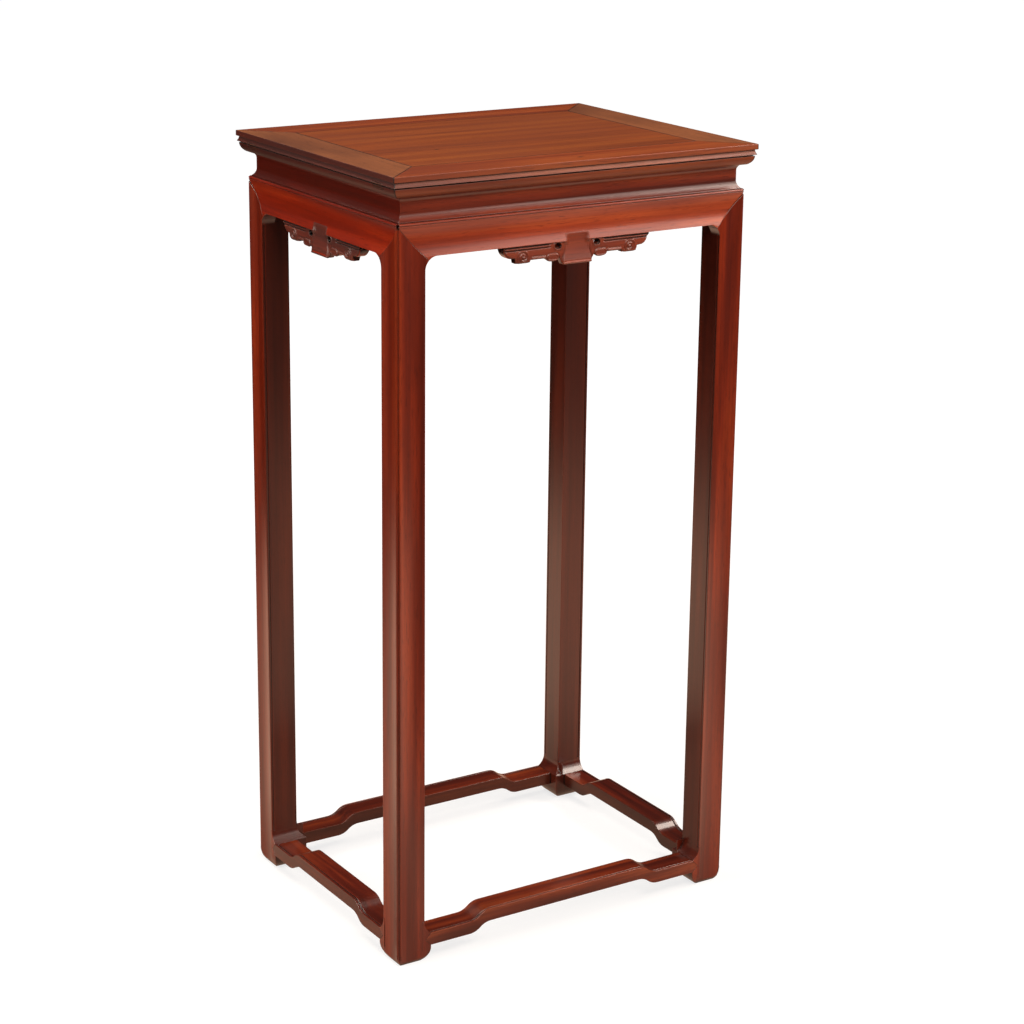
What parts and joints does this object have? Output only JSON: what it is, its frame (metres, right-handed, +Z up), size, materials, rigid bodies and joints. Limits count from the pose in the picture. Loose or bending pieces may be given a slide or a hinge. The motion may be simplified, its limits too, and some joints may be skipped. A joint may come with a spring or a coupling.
{
  "type": "incense stand",
  "caption": "Tall rectangular incense stand of polished red hardwood: framed panel top on a recessed waist, aprons with carved pendants, straight legs and humped base stretchers.",
  "frame": {"origin": "on the floor under the centre of the top", "axes": "+Z up, X along the long sides, the front long side faces -Y"},
  "size_m": [0.438, 0.338, 0.84],
  "materials": {
    "panel_wood": "satin polished",
    "hidden_wood": "satin polished",
    "rail_wood": "satin polished",
    "waist_wood": "satin polished",
    "apron_wood": "satin polished",
    "leg_wood": "satin polished",
    "stretcher_wood": "satin polished"
  },
  "bodies": {
    "root": {"apron_back": "apron_wood", "apron_front": "apron_wood", "apron_left": "apron_wood", "apron_right": "apron_wood", "leg_back_left": "leg_wood", "leg_back_right": "leg_wood", "leg_front_left": "leg_wood", "leg_front_right": "leg_wood", "panel_batten_left": "hidden_wood", "panel_batten_right": "hidden_wood", "stretcher_back": "stretcher_wood", "stretcher_front": "stretcher_wood", "stretcher_left": "stretcher_wood", "stretcher_right": "stretcher_wood", "top_panel": "panel_wood", "top_rail_back": "rail_wood", "top_rail_front": "rail_wood", "top_rail_left": "rail_wood", "top_rail_right": "rail_wood", "waist_back": "waist_wood", "waist_front": "waist_wood", "waist_left": "waist_wood", "waist_right": "waist_wood"}
  },
  "joints": []
}
